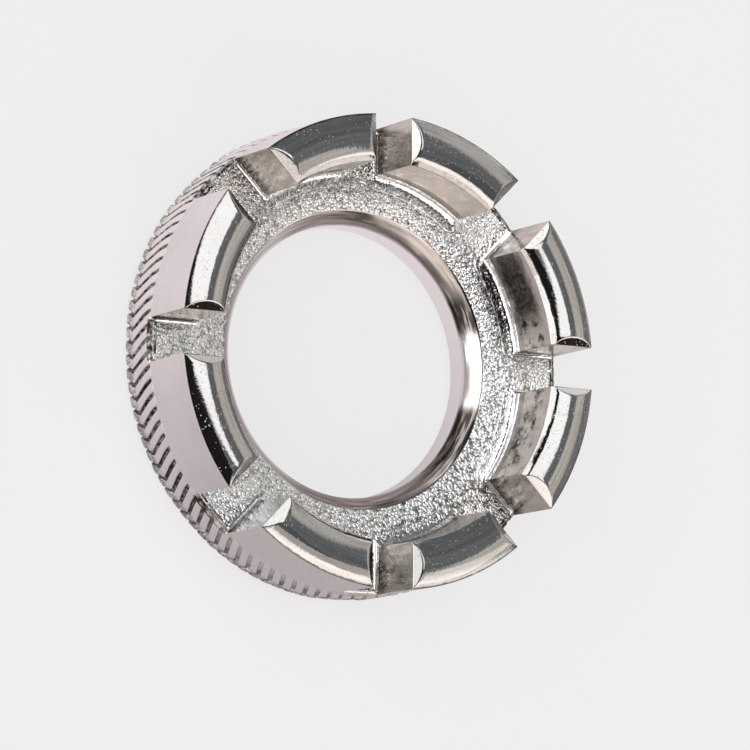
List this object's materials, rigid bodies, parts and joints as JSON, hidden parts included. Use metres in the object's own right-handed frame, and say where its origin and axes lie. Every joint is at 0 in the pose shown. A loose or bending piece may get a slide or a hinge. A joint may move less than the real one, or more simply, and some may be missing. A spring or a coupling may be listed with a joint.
{
  "type": "spoke wrench",
  "caption": "Round spoke wrench: a thick ring with a herringbone-knurled rim, a large central hole and upright jaws whose slots turn spoke nipples of different sizes.",
  "frame": {"origin": "centre of the flat back face, on the ring's axis, with the tool lying on that face", "axes": "+Z along the ring's axis from the back face to the jaws' crowns, +X through the middle of slot 1, +Y through the middle of slot 3"},
  "size_m": [0.043, 0.043, 0.011],
  "materials": {
    "cast_plate": "bright nickel plate over a rough sand-cast skin",
    "knurl": "satin nickel plate over a herringbone knurl",
    "polished_jaw": "bright nickel plate, mirror-polished crowns and satin outer walls"
  },
  "bodies": {
    "root": {"back_plate": "cast_plate", "knurled_band": "knurl", "jaw_feet": "cast_plate", "jaw_1": "polished_jaw", "jaw_2": "polished_jaw", "jaw_3": "polished_jaw", "jaw_4": "polished_jaw", "jaw_5": "polished_jaw", "jaw_6": "polished_jaw", "jaw_7": "polished_jaw", "jaw_8": "polished_jaw"}
  },
  "joints": []
}
